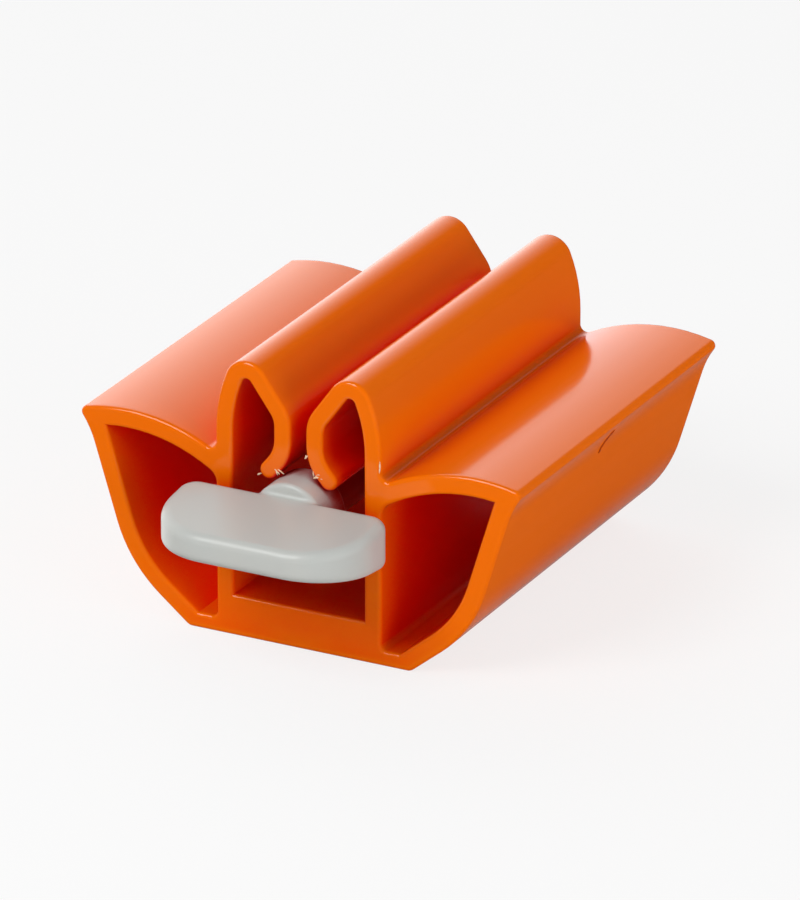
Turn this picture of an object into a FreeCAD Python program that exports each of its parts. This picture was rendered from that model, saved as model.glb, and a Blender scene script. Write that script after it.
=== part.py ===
"""Spring clamp: a hull-shaped plastic extrusion with two sprung jaws, and a winged key under them.

Frame: millimetres, +Z up, origin at the middle of the flat base. The length runs along Y, with the
key's wing at the -Y end. The section is drawn in X and Z and is the same all along the body.
"""
import FreeCAD
import Part
import math
import os
import Sketcher

LENGTH_NOTE = "The sizes below are real ones in millimetres, and the angles are in degrees."
SIZES = [
    ("body_length", 55.0, "front sawn face to rear sawn face"),
    ("floor_thickness", 5.4, "slab under the channel"),
    ("channel_width", 18.0, "between the two upright walls"),
    ("spring_wall", 2.3, "upright walls and jaws"),
    ("base_margin", 3.95, "flat base beyond each upright wall, which makes the base 30.5 wide"),
    ("hull_flare", 14.75, "each nose beyond the flat base, which makes the hull 60 wide"),
    ("hull_wall", 2.4, "curved outer wall of each side cell"),
    ("roof_wall", 2.5, "crowned roof of each side cell"),
    ("cell_floor", 2.0, "floor of each side cell"),
    ("low_angle", 39.0, "slope of the hull next to the base"),
    ("side_angle", 73.0, "slope of the hull's side"),
    ("belly_radius", 18.0, "bend between those two slopes"),
    ("base_edge_radius", 1.3, "edge of the flat base"),
    ("under_lip_radius", 12.0, "hollow below the overhanging nose"),
    ("under_lip_drop", 5.15, "from the top of the crown down to where that hollow starts"),
    ("nose_radius", 0.8, "rounded edge of the roof"),
    ("crown_radius", 24.5, "outside of the crowned roof"),
    ("crown_height", 27.15, "top of the crown over the base"),
    ("crown_offset", 12.5, "from each upright wall to the top of the crown"),
    ("notch_radius", 0.9, "fillet where the roof meets the upright wall"),
    ("cell_corner_radius", 2.0, "upper inner corner of each cell"),
    ("cell_floor_radius", 0.8, "lower inner corner of each cell"),
    ("ridge_rise", 9.35, "from the crown up to the two ridges, which makes the clamp 36.5 high"),
    ("ridge_inset", 1.95, "how far each ridge's centre stands in from the upright wall"),
    ("bend_radius", 0.7, "inside of the bend that the jaw flexes about"),
    ("hinge_gap", 0.2, "cut between the wall and its jaw at the bend"),
    ("jaw_gap", 2.1, "between the two gripping faces"),
    ("lead_angle", 54.3, "slope of the lead-in faces of the jaws"),
    ("knee_radius", 2.7, "inside of the bend above the gripping faces"),
    ("grip_length", 1.68, "straight part of the gripping faces, down to where they curl outwards"),
    ("curl_radius", 4.1, "outside face of that curl"),
    ("curl_angle", 40.0, "how far the jaw curls"),
    ("lip_length", 1.05, "straight end of the curl, before its round tip"),
    ("wing_width", 28.0, "key: finger wing, tip to tip"),
    ("wing_side", 2.3, "key: straight side of the wing between its corners"),
    ("wing_root", 6.8, "key: thickness of the wing beside the collar"),
    ("wing_tip", 3.7, "key: thickness of the wing at its front edge"),
    ("wing_front_radius", 8.5, "key: front corners of the wing"),
    ("wing_rear_radius", 2.4, "key: rear corners of the wing"),
    ("wing_edge_radius", 1.3, "key: rounded edges of the wing"),
    ("wing_standoff", 2.1, "key: from the wing to the body's front face"),
    ("collar_radius", 4.95, "key: collar that turns under the lips"),
    ("collar_depth", 3.4, "key: how far the collar reaches into the body"),
    ("collar_bury", 0.6, "key: how far the collar is set into the wing"),
    ("collar_edge_radius", 0.6, "key: rounded rims of the collar, and the fillet where it meets the wing"),
    ("shaft_radius", 3.2, "key: split shaft"),
    ("shaft_inset", 2.0, "key: from the shaft's end to the rear face"),
    ("slot_width", 1.6, "key: slot through the shaft"),
    ("slot_setback", 1.5, "key: solid shaft between the collar and the slot"),
    ("shaft_chamfer", 0.6, "key: end of the shaft"),
    ("key_clearance", 0.35, "between the collar and each lip"),
]
size = {alias: number for alias, number, note in SIZES}

doc = FreeCAD.newDocument("spring_clamp")
sheet = doc.addObject("Spreadsheet::Sheet", "sizes")
sheet.set("A1", LENGTH_NOTE)
for row, (alias, number, note) in enumerate(SIZES, start=2):
    sheet.set(f"A{row}", note)
    sheet.set(f"B{row}", str(number))
    sheet.setAlias(f"B{row}", alias)
doc.recompute()


def point(x, z):
    """A point of a sketch, in the sketch's own two directions."""
    return FreeCAD.Vector(x, z, 0)


def polar(centre, radius, degrees):
    """The point at this angle on a circle."""
    turn = math.radians(degrees)
    return point(centre.x + radius * math.cos(turn), centre.y + radius * math.sin(turn))


def bearing(start, end):
    """Direction from one point to another, in degrees from 0 to 360."""
    return math.degrees(math.atan2(end.y - start.y, end.x - start.x)) % 360


def reach(long_side, short_side):
    """Third side of a right-angled triangle."""
    return math.sqrt(long_side ** 2 - short_side ** 2)


START, END, CENTRE = range(1, 4)
ORIGIN = (-1, 1)


class Profile:
    """A sketch drawn with lines and arcs whose sizes are tied to the sheet."""

    def __init__(self, body, name, plane):
        self.sketch = body.newObject("Sketcher::SketchObject", name)
        role = plane + "_Plane"
        origin_plane = [feature for feature in body.Origin.OriginFeatures if feature.Role == role][0]
        self.sketch.AttachmentSupport = [(origin_plane, "")]
        self.sketch.MapMode = "FlatFace"

    def line(self, start, end):
        return self.sketch.addGeometry(Part.LineSegment(start, end), False)

    def arc(self, centre, radius, first, last):
        """An arc drawn anticlockwise from one angle to another."""
        circle = Part.Circle(centre, FreeCAD.Vector(0, 0, 1), radius)
        last = last if last > first else last + 360
        return self.sketch.addGeometry(Part.ArcOfCircle(circle, math.radians(first), math.radians(last)), False)

    def circle(self, centre, radius):
        return self.sketch.addGeometry(Part.Circle(centre, FreeCAD.Vector(0, 0, 1), radius), False)

    def tie(self, kind, *refs):
        """A constraint with no value, such as Vertical or Coincident."""
        self.sketch.addConstraint(Sketcher.Constraint(kind, *refs))

    def chain(self, steps):
        """Join a closed run of pieces: (piece, the end it is entered by, smooth or corner to the next)."""
        for here, (piece, entry, joint) in enumerate(steps):
            following, next_entry, _ = steps[(here + 1) % len(steps)]
            leave = END if entry == START else START
            kind = "Tangent" if joint == "smooth" else "Coincident"
            self.tie(kind, piece, leave, following, next_entry)

    def measure(self, kind, refs):
        """The value that the drawn shape has now, so that the solver starts from the right place."""
        if kind == "Radius":
            return self.sketch.Geometry[refs[0]].Radius
        if kind == "Angle":
            segment = self.sketch.Geometry[refs[0]]
            return math.atan2(segment.EndPoint.y - segment.StartPoint.y, segment.EndPoint.x - segment.StartPoint.x)
        first = self.sketch.getPoint(refs[0], refs[1])
        second = self.sketch.getPoint(refs[2], refs[3])
        return second.x - first.x if kind == "DistanceX" else second.y - first.y

    def size(self, kind, refs, expression):
        """A dimension whose value follows an expression on the sheet."""
        index = self.sketch.addConstraint(Sketcher.Constraint(kind, *refs, self.measure(kind, refs)))
        unit = " * 1 deg" if kind == "Angle" else ""
        self.sketch.setExpression(f"Constraints[{index}]", f"({expression}){unit}")

    def across(self, piece, end, expression):
        """Distance of a point to the right of the sketch's upright axis."""
        self.size("DistanceX", (*ORIGIN, piece, end), expression)

    def above(self, piece, end, expression):
        """Height of a point over the sketch's level axis."""
        self.size("DistanceY", (*ORIGIN, piece, end), expression)


def pad(body, name, profile, length, reverse=False, both_sides=False):
    """Extrude a profile by a length given as an expression."""
    feature = body.newObject("PartDesign::Pad", name)
    feature.Profile = profile.sketch
    feature.setExpression("Length", length)
    feature.Reversed = reverse
    feature.SideType = "Symmetric" if both_sides else "One side"
    doc.recompute()
    return feature


def cut_through(body, name, profile):
    """Cut a profile right through the body, both ways from its sketch, and check that it removes something."""
    before = body.Shape.Volume
    feature = body.newObject("PartDesign::Pocket", name)
    feature.Profile = profile.sketch
    feature.Type = "ThroughAll"
    feature.SideType = "Symmetric"
    doc.recompute()
    if not body.Shape.Volume < before:
        raise RuntimeError(f"{name} cuts nothing")
    return feature


def dress(body, kind, name, base, edges, radius):
    """Round or bevel some edges of a feature: kind is Fillet (radius) or Chamfer (size)."""
    feature = body.newObject(f"PartDesign::{kind}", name)
    feature.Base = (base, edges)
    feature.setExpression("Radius" if kind == "Fillet" else "Size", radius)
    doc.recompute()
    return feature


def edges_where(feature, test):
    """Names of a feature's edges that pass a test."""
    return [f"Edge{number}" for number, edge in enumerate(feature.Shape.Edges, start=1) if test(edge)]


# Places that several profiles share, as numbers to draw with and as expressions to bind to.
wall_inner = size["channel_width"] / 2
wall_outer = wall_inner + size["spring_wall"]
base_half = wall_outer + size["base_margin"]
hull_half = base_half + size["hull_flare"]
bend_outside = size["bend_radius"] + size["spring_wall"]
# The bend joins each upright wall to its jaw, and the jaw flexes about its centre line.
bend = point(wall_inner - size["ridge_inset"], size["crown_height"] + size["ridge_rise"] - bend_outside)
WALL_INNER = "sizes.channel_width / 2"
WALL_OUTER = f"({WALL_INNER} + sizes.spring_wall)"
BASE_HALF = f"({WALL_OUTER} + sizes.base_margin)"
HULL_HALF = f"({BASE_HALF} + sizes.hull_flare)"
BEND_X = f"({WALL_INNER} - sizes.ridge_inset)"
BEND_Z = "(sizes.crown_height + sizes.ridge_rise - sizes.bend_radius - sizes.spring_wall)"


def clamp_body():
    """The extrusion without its jaws: base slab, two side cells and the two upright walls."""
    body = doc.addObject("PartDesign::Body", "clamp_body")
    body.Label = "clamp_body"
    body.setExpression("Placement.Base.y", "-sizes.body_length / 2")
    half = Profile(body, "half_section", "XZ")

    corner = point(base_half, 0)
    low, side = size["low_angle"], size["side_angle"]

    # Nose, hollow under it and crown of the roof.
    crown = point(wall_outer + size["crown_offset"], size["crown_height"] - size["crown_radius"])
    nose_x = hull_half - size["nose_radius"]
    nose_rise = reach(size["crown_radius"] - size["nose_radius"], nose_x - crown.x)
    nose = point(nose_x, crown.y + nose_rise)
    side_top_z = size["crown_height"] - size["under_lip_drop"]
    hollow_z = side_top_z - size["under_lip_radius"] * math.cos(math.radians(side))
    hollow_x = nose.x + reach(size["under_lip_radius"] + size["nose_radius"], nose.y - hollow_z)
    hollow = point(hollow_x, hollow_z)
    side_top = polar(hollow, size["under_lip_radius"], side + 90)

    # Belly: an arc that touches the low slope and the side.
    def belly_centre():
        slope_low, slope_side = math.radians(low), math.radians(side)
        turn = math.sin(slope_side - slope_low)
        gap_x, gap_z = side_top.x - corner.x, side_top.y - corner.y
        along_low = (gap_x * math.sin(slope_side) - gap_z * math.cos(slope_side)) / turn
        tangent = size["belly_radius"] * math.tan((slope_side - slope_low) / 2)
        touch = polar(corner, along_low - tangent, low)
        return polar(touch, size["belly_radius"], low + 90)

    belly = belly_centre()
    base_turn = size["base_edge_radius"] * math.tan(math.radians(low / 2))
    base_centre = point(corner.x - base_turn, size["base_edge_radius"])

    # Notch between roof and wall. Level with the crown's top the wall starts to lean in, on one arc
    # that runs on into the bend, which settles the arc's radius.
    notch_x = wall_outer + size["notch_radius"]
    notch_rise = reach(size["crown_radius"] + size["notch_radius"], crown.x - notch_x)
    notch = point(notch_x, crown.y + notch_rise)
    lean_run, lean_rise = size["ridge_inset"], bend.y - size["crown_height"]
    lean_radius = (lean_run ** 2 + lean_rise ** 2 - size["bend_radius"] ** 2) / 2 / (lean_run - size["bend_radius"])
    lean = point(wall_inner - lean_radius, size["crown_height"])
    lean_end = bearing(lean, bend)
    seam_outer = math.degrees(math.acos(size["hinge_gap"] / 2 / bend_outside))
    seam_inner = math.degrees(math.acos(size["hinge_gap"] / 2 / size["bend_radius"]))
    floor_z = size["floor_thickness"]

    base_line = half.line(point(0, 0), point(base_centre.x, 0))
    base_arc = half.arc(base_centre, size["base_edge_radius"], 270, 270 + low)
    low_line = half.line(polar(base_centre, size["base_edge_radius"], 270 + low),
                         polar(belly, size["belly_radius"], low - 90))
    belly_arc = half.arc(belly, size["belly_radius"], low - 90, side - 90)
    side_line = half.line(polar(belly, size["belly_radius"], side - 90), side_top)
    hollow_arc = half.arc(hollow, size["under_lip_radius"], bearing(hollow, nose), side + 90)
    nose_arc = half.arc(nose, size["nose_radius"], bearing(nose, hollow) - 360, bearing(crown, nose))
    crown_arc = half.arc(crown, size["crown_radius"], bearing(crown, nose), bearing(crown, notch))
    notch_arc = half.arc(notch, size["notch_radius"], 180, bearing(notch, crown))
    wall_outside = half.line(point(wall_outer, notch.y), point(wall_outer, lean.y))
    lean_outside = half.arc(lean, lean_radius + size["spring_wall"], 0, lean_end)
    bend_outer = half.arc(bend, bend_outside, lean_end, seam_outer)
    seam = half.line(polar(bend, bend_outside, seam_outer), polar(bend, size["bend_radius"], seam_inner))
    bend_inner = half.arc(bend, size["bend_radius"], lean_end, seam_inner)
    lean_inside = half.arc(lean, lean_radius, 0, lean_end)
    wall_inside = half.line(point(wall_inner, lean.y), point(wall_inner, floor_z))
    channel_floor = half.line(point(wall_inner, floor_z), point(0, floor_z))
    middle = half.line(point(0, floor_z), point(0, 0))
    half.chain([
        (base_line, START, "smooth"), (base_arc, START, "smooth"), (low_line, START, "smooth"),
        (belly_arc, START, "smooth"), (side_line, START, "smooth"), (hollow_arc, END, "smooth"),
        (nose_arc, START, "smooth"), (crown_arc, START, "smooth"), (notch_arc, END, "smooth"),
        (wall_outside, START, "smooth"), (lean_outside, START, "smooth"), (bend_outer, START, "corner"),
        (seam, START, "corner"), (bend_inner, END, "smooth"), (lean_inside, END, "smooth"),
        (wall_inside, START, "corner"), (channel_floor, START, "corner"), (middle, START, "corner"),
    ])
    half.tie("Coincident", base_line, START, *ORIGIN)
    half.tie("Horizontal", base_line)
    half.tie("Vertical", middle)
    half.tie("Horizontal", channel_floor)
    half.tie("Vertical", wall_inside)
    half.tie("Vertical", wall_outside)
    half.tie("Vertical", seam)
    half.tie("Coincident", lean_outside, CENTRE, lean_inside, CENTRE)
    half.tie("Coincident", bend_outer, CENTRE, bend_inner, CENTRE)
    half.across(base_line, END, f"{BASE_HALF} - sizes.base_edge_radius * tan(sizes.low_angle / 2 * 1 deg)")
    half.size("Radius", (base_arc,), "sizes.base_edge_radius")
    half.size("Angle", (low_line,), "sizes.low_angle")
    half.size("Radius", (belly_arc,), "sizes.belly_radius")
    half.size("Angle", (side_line,), "sizes.side_angle")
    half.above(side_line, END, "sizes.crown_height - sizes.under_lip_drop")
    half.size("Radius", (hollow_arc,), "sizes.under_lip_radius")
    half.size("Radius", (nose_arc,), "sizes.nose_radius")
    half.across(nose_arc, CENTRE, f"{HULL_HALF} - sizes.nose_radius")
    half.size("Radius", (crown_arc,), "sizes.crown_radius")
    half.across(crown_arc, CENTRE, f"{WALL_OUTER} + sizes.crown_offset")
    half.above(crown_arc, CENTRE, "sizes.crown_height - sizes.crown_radius")
    half.size("Radius", (notch_arc,), "sizes.notch_radius")
    half.across(wall_outside, START, WALL_OUTER)
    half.across(wall_inside, END, WALL_INNER)
    half.above(wall_inside, END, "sizes.floor_thickness")
    half.above(lean_inside, CENTRE, "sizes.crown_height")
    half.size("Radius", (bend_inner,), "sizes.bend_radius")
    half.across(bend_inner, CENTRE, BEND_X)
    half.above(bend_inner, CENTRE, BEND_Z)
    half.across(seam, START, f"{BEND_X} + sizes.hinge_gap / 2")

    # The hollow side cell, drawn in the same sketch.
    belly_inside = size["belly_radius"] - size["hull_wall"]
    roof_inside = size["crown_radius"] - size["roof_wall"]
    fillet, small = size["cell_corner_radius"], size["cell_floor_radius"]
    shelf = point(wall_outer + fillet, crown.y + reach(roof_inside - fillet, crown.x - wall_outer - fillet))
    heel = point(wall_outer + small, size["cell_floor"] + small)
    low_foot = polar(belly, belly_inside, low - 90)
    toe_run = (low_foot.y - size["cell_floor"]) / math.tan(math.radians(low))
    toe = point(low_foot.x - toe_run, size["cell_floor"])
    side_foot = polar(belly, belly_inside, side - 90)
    # Where the side's inner face meets the inside of the roof.
    climb = math.radians(side)
    offset = (side_foot.x - crown.x) * math.sin(climb) - (side_foot.y - crown.y) * math.cos(climb)
    level = (side_foot.x - crown.x) * math.cos(climb) + (side_foot.y - crown.y) * math.sin(climb)
    eave = polar(side_foot, reach(roof_inside, offset) - level, side)

    cell_floor = half.line(point(heel.x, size["cell_floor"]), toe)
    low_inside = half.line(toe, low_foot)
    belly_void = half.arc(belly, belly_inside, low - 90, side - 90)
    side_inside = half.line(side_foot, eave)
    roof_void = half.arc(crown, roof_inside, bearing(crown, eave), bearing(crown, shelf))
    shelf_arc = half.arc(shelf, fillet, bearing(crown, shelf), 180)
    cell_wall = half.line(point(wall_outer, shelf.y), point(wall_outer, heel.y))
    heel_arc = half.arc(heel, small, 180, 270)
    half.chain([
        (cell_floor, START, "corner"), (low_inside, START, "smooth"), (belly_void, START, "smooth"),
        (side_inside, START, "corner"), (roof_void, START, "smooth"), (shelf_arc, START, "smooth"),
        (cell_wall, START, "smooth"), (heel_arc, START, "smooth"),
    ])
    half.tie("Horizontal", cell_floor)
    half.tie("Vertical", cell_wall)
    half.tie("Coincident", belly_void, CENTRE, belly_arc, CENTRE)
    half.tie("Coincident", roof_void, CENTRE, crown_arc, CENTRE)
    half.tie("Parallel", low_inside, low_line)
    half.tie("Parallel", side_inside, side_line)
    half.above(cell_floor, START, "sizes.cell_floor")
    half.across(cell_wall, START, WALL_OUTER)
    half.size("Radius", (belly_void,), "sizes.belly_radius - sizes.hull_wall")
    half.size("Radius", (roof_void,), "sizes.crown_radius - sizes.roof_wall")
    half.size("Radius", (shelf_arc,), "sizes.cell_corner_radius")
    half.size("Radius", (heel_arc,), "sizes.cell_floor_radius")

    right = pad(body, "right_half", half, "sizes.body_length", reverse=True)
    both = body.newObject("PartDesign::Mirrored", "both_halves")
    both.Originals = [right]
    mirror_plane = [feature for feature in body.Origin.OriginFeatures if feature.Role == "YZ_Plane"][0]
    both.MirrorPlane = (mirror_plane, [""])
    body.Tip = both
    doc.recompute()
    return body


# A jaw's knee and the centre of the round tip at the end of its curl, from the jaw's own sizes.
KNEE_X = "(sizes.jaw_gap / 2 + sizes.knee_radius + sizes.spring_wall)"
KNEE_Z = (f"({BEND_Z} - (sizes.knee_radius - sizes.bend_radius + ({BEND_X} - {KNEE_X})"
          " * sin(sizes.lead_angle * 1 deg)) / cos(sizes.lead_angle * 1 deg))")
LIP_X = ("(sizes.jaw_gap / 2 + sizes.curl_radius + sizes.spring_wall"
         " - (sizes.curl_radius + sizes.spring_wall / 2) * cos(sizes.curl_angle * 1 deg)"
         " + sizes.lip_length * sin(sizes.curl_angle * 1 deg))")
LIP_Z = (f"({KNEE_Z} - sizes.grip_length"
         " - (sizes.curl_radius + sizes.spring_wall / 2) * sin(sizes.curl_angle * 1 deg)"
         " - sizes.lip_length * cos(sizes.curl_angle * 1 deg))")


def spring_jaw(name, left):
    """One sprung jaw: lead-in, gripping face and outward curl, from the bend down. Both are one section."""
    body = doc.addObject("PartDesign::Body", name)
    body.Label = name
    if left:
        body.Placement.Rotation = FreeCAD.Rotation(FreeCAD.Vector(0, 0, 1), 180)
    body.setExpression("Placement.Base.y", "sizes.body_length / 2" if left else "-sizes.body_length / 2")
    jaw = Profile(body, "jaw_section", "XZ")

    wall, grip = size["spring_wall"], size["jaw_gap"] / 2
    tilt = size["lead_angle"] + 90
    knee_outside = size["knee_radius"] + wall
    knee_x = grip + knee_outside
    # The lead-in face touches the bend's circle and the knee's circle, with both centres behind it.
    lead = math.radians(size["lead_angle"])
    drop = (knee_outside - bend_outside + (bend.x - knee_x) * math.sin(lead)) / math.cos(lead)
    knee = point(knee_x, bend.y - drop)
    curl_outside = size["curl_radius"] + wall
    curl = point(grip + curl_outside, knee.y - size["grip_length"])
    turned = 180 + size["curl_angle"]
    ahead = 270 + size["curl_angle"]
    tip = polar(polar(curl, size["curl_radius"] + wall / 2, turned), size["lip_length"], ahead)
    seam_outer = math.degrees(math.acos(-size["hinge_gap"] / 2 / bend_outside))
    seam_inner = math.degrees(math.acos(-size["hinge_gap"] / 2 / size["bend_radius"]))

    bend_outer = jaw.arc(bend, bend_outside, seam_outer, tilt)
    lead_outside = jaw.line(polar(knee, knee_outside, tilt), polar(bend, bend_outside, tilt))
    knee_outer = jaw.arc(knee, knee_outside, tilt, 180)
    grip_face = jaw.line(point(grip, knee.y), point(grip, curl.y))
    curl_outer = jaw.arc(curl, curl_outside, 180, turned)
    lip_outer = jaw.line(polar(tip, wall / 2, turned), polar(curl, curl_outside, turned))
    lip_tip = jaw.arc(tip, wall / 2, turned, turned + 180)
    lip_inner = jaw.line(polar(tip, wall / 2, turned + 180), polar(curl, size["curl_radius"], turned))
    curl_inner = jaw.arc(curl, size["curl_radius"], 180, turned)
    back_face = jaw.line(point(grip + wall, curl.y), point(grip + wall, knee.y))
    knee_inner = jaw.arc(knee, size["knee_radius"], tilt, 180)
    lead_inside = jaw.line(polar(knee, size["knee_radius"], tilt), polar(bend, size["bend_radius"], tilt))
    bend_inner = jaw.arc(bend, size["bend_radius"], seam_inner, tilt)
    seam = jaw.line(polar(bend, size["bend_radius"], seam_inner), polar(bend, bend_outside, seam_outer))
    jaw.chain([
        (bend_outer, START, "smooth"), (lead_outside, END, "smooth"), (knee_outer, START, "smooth"),
        (grip_face, START, "smooth"), (curl_outer, START, "smooth"), (lip_outer, END, "smooth"),
        (lip_tip, START, "smooth"), (lip_inner, START, "smooth"), (curl_inner, END, "smooth"),
        (back_face, START, "smooth"), (knee_inner, END, "smooth"), (lead_inside, START, "smooth"),
        (bend_inner, END, "corner"), (seam, START, "corner"),
    ])
    jaw.tie("Vertical", seam)
    jaw.tie("Vertical", grip_face)
    jaw.tie("Vertical", back_face)
    jaw.tie("Parallel", lip_outer, lip_inner)
    jaw.tie("Coincident", bend_outer, CENTRE, bend_inner, CENTRE)
    jaw.tie("Coincident", knee_outer, CENTRE, knee_inner, CENTRE)
    jaw.tie("Coincident", curl_outer, CENTRE, curl_inner, CENTRE)
    jaw.across(bend_outer, CENTRE, BEND_X)
    jaw.above(bend_outer, CENTRE, BEND_Z)
    jaw.size("Radius", (bend_outer,), "sizes.bend_radius + sizes.spring_wall")
    jaw.size("Radius", (bend_inner,), "sizes.bend_radius")
    jaw.across(seam, START, f"{BEND_X} - sizes.hinge_gap / 2")
    jaw.size("Angle", (lead_outside,), "sizes.lead_angle")
    jaw.size("Radius", (knee_inner,), "sizes.knee_radius")
    jaw.across(grip_face, START, "sizes.jaw_gap / 2")
    jaw.across(back_face, START, "sizes.jaw_gap / 2 + sizes.spring_wall")
    jaw.size("DistanceY", (grip_face, END, grip_face, START), "sizes.grip_length")
    jaw.size("Radius", (curl_inner,), "sizes.curl_radius")
    jaw.size("Angle", (lip_outer,), "90 + sizes.curl_angle")
    jaw.size("DistanceY", (lip_outer, START, lip_outer, END), "sizes.lip_length * cos(sizes.curl_angle * 1 deg)")
    pad(body, "jaw", jaw, "sizes.body_length", reverse=True)
    return body


def turn_key():
    """The key, one moulding: a wedge-shaped finger wing, a round collar and a shaft split by a slot."""
    body = doc.addObject("PartDesign::Body", "turn_key")
    body.Label = "turn_key"
    body.setExpression("Placement.Base.y", "-sizes.body_length / 2")
    # The key lies as high as the lips let it: its collar is the clearance away from both round tips.
    body.setExpression("Placement.Base.z",
                       f"{LIP_Z} - sqrt(pow(sizes.collar_radius + sizes.spring_wall / 2 + sizes.key_clearance; 2)"
                       f" - pow({LIP_X}; 2))")

    big, small = size["wing_front_radius"], size["wing_rear_radius"]
    half_width, rear = size["wing_width"] / 2, size["wing_standoff"]
    front = rear + small + size["wing_side"] + big
    wing_front = "(sizes.wing_standoff + sizes.wing_rear_radius + sizes.wing_side + sizes.wing_front_radius)"
    plan = Profile(body, "wing_plan", "XY")
    right_front = point(half_width - big, -front + big)
    left_front = point(-half_width + big, -front + big)
    right_rear = point(half_width - small, -rear - small)
    left_rear = point(-half_width + small, -rear - small)
    front_edge = plan.line(point(left_front.x, -front), point(right_front.x, -front))
    right_big = plan.arc(right_front, big, 270, 360)
    right_edge = plan.line(point(half_width, right_front.y), point(half_width, right_rear.y))
    right_small = plan.arc(right_rear, small, 0, 90)
    rear_edge = plan.line(point(right_rear.x, -rear), point(left_rear.x, -rear))
    left_small = plan.arc(left_rear, small, 90, 180)
    left_edge = plan.line(point(-half_width, left_rear.y), point(-half_width, left_front.y))
    left_big = plan.arc(left_front, big, 180, 270)
    plan.chain([(piece, START, "smooth") for piece in (front_edge, right_big, right_edge, right_small,
                                                       rear_edge, left_small, left_edge, left_big)])
    plan.tie("Horizontal", front_edge)
    plan.tie("Horizontal", rear_edge)
    plan.tie("Vertical", right_edge)
    plan.tie("Vertical", left_edge)
    plan.tie("Equal", right_big, left_big)
    plan.tie("Equal", right_small, left_small)
    plan.across(right_edge, START, "sizes.wing_width / 2")
    plan.size("DistanceX", (left_edge, START, *ORIGIN), "sizes.wing_width / 2")
    plan.size("DistanceY", (rear_edge, START, *ORIGIN), "sizes.wing_standoff")
    plan.size("DistanceY", (front_edge, START, *ORIGIN), wing_front)
    plan.size("Radius", (right_big,), "sizes.wing_front_radius")
    plan.size("Radius", (right_small,), "sizes.wing_rear_radius")
    pad(body, "wing", plan, "sizes.wing_root", both_sides=True)

    # The wing thins towards its front edge: the same wedge comes off above and below.
    thick, thin = size["wing_root"] / 2, size["wing_tip"] / 2
    taper = Profile(body, "wing_taper", "YZ")
    for way in (1, -1):
        root = point(-rear, way * thick)
        edge = point(-front, way * thin)
        beyond = point(-front, way * thick)
        slope = taper.line(root, edge)
        rise = taper.line(edge, beyond)
        level = taper.line(beyond, root)
        taper.chain([(slope, START, "corner"), (rise, START, "corner"), (level, START, "corner")])
        taper.tie("Horizontal", level)
        taper.tie("Vertical", rise)
        taper.size("DistanceX", (slope, START, *ORIGIN), "sizes.wing_standoff")
        taper.size("DistanceX", (slope, END, *ORIGIN), wing_front)
        upper = (*ORIGIN, slope, START) if way > 0 else (slope, START, *ORIGIN)
        lower = (*ORIGIN, slope, END) if way > 0 else (slope, END, *ORIGIN)
        taper.size("DistanceY", upper, "sizes.wing_root / 2")
        taper.size("DistanceY", lower, "sizes.wing_tip / 2")
    wedge = cut_through(body, "wing_wedge", taper)

    # Every edge of the wing but the short upright ones between its faces is rounded.
    rims = edges_where(wedge, lambda edge: max(abs(vertex.Z) for vertex in edge.Vertexes) > thin / 2
                       and edge.Vertexes[0].Z * edge.Vertexes[-1].Z > 0)
    dress(body, "Fillet", "wing_edges", wedge, rims, "sizes.wing_edge_radius")

    def turned_part(label, radius, start, end):
        """A round length of the key, from one distance along its axis to another."""
        disc = Profile(body, label + "_section", "XZ")
        rim = disc.circle(point(0, 0), size[radius])
        disc.tie("Coincident", rim, CENTRE, *ORIGIN)
        disc.size("Radius", (rim,), "sizes." + radius)
        disc.sketch.setExpression("AttachmentOffset.Base.z", f"-({start})")
        return pad(body, label, disc, f"({end}) - ({start})", reverse=True)

    collar_start = "-sizes.wing_standoff - sizes.collar_bury"
    collar = turned_part("collar", "collar_radius", collar_start, "sizes.collar_depth")

    def round_the_collar(edge):
        """An edge that ends on the collar's side and doesn't run along it: its rims, and its foot on the wing."""
        ends = [vertex.Point for vertex in edge.Vertexes]
        on_side = all(abs(math.hypot(end.x, end.z) - size["collar_radius"]) < 1e-4 for end in ends)
        return on_side and abs(ends[0].y - ends[-1].y) < size["collar_depth"]

    dress(body, "Fillet", "collar_rims", collar, edges_where(collar, round_the_collar), "sizes.collar_edge_radius")
    shaft_end = size["body_length"] - size["shaft_inset"]
    shaft = turned_part("shaft", "shaft_radius", "sizes.collar_depth", "sizes.body_length - sizes.shaft_inset")
    shaft_rim = edges_where(shaft, lambda edge: isinstance(edge.Curve, Part.Circle)
                            and abs(edge.Curve.Center.y - shaft_end) < 1e-6)
    dress(body, "Chamfer", "shaft_end", shaft, shaft_rim, "sizes.shaft_chamfer")

    # The slot is open at the shaft's end and round at its blind end.
    slot_start = size["collar_depth"] + size["slot_setback"]
    slot_half = size["slot_width"] / 2
    slot = Profile(body, "slot_plan", "XY")
    blind_end = slot.arc(point(0, slot_start + slot_half), slot_half, 180, 360)
    right_side = slot.line(point(slot_half, slot_start + slot_half), point(slot_half, size["body_length"]))
    mouth = slot.line(point(slot_half, size["body_length"]), point(-slot_half, size["body_length"]))
    left_side = slot.line(point(-slot_half, size["body_length"]), point(-slot_half, slot_start + slot_half))
    slot.chain([(blind_end, START, "smooth"), (right_side, START, "corner"), (mouth, START, "corner"),
                (left_side, START, "smooth")])
    slot.tie("Vertical", right_side)
    slot.tie("Vertical", left_side)
    slot.tie("Horizontal", mouth)
    slot.tie("PointOnObject", blind_end, CENTRE, -2)
    slot.size("Radius", (blind_end,), "sizes.slot_width / 2")
    slot.above(blind_end, CENTRE, "sizes.collar_depth + sizes.slot_setback + sizes.slot_width / 2")
    slot.above(right_side, END, "sizes.body_length")
    cut_through(body, "slot", slot)
    return body


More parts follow.
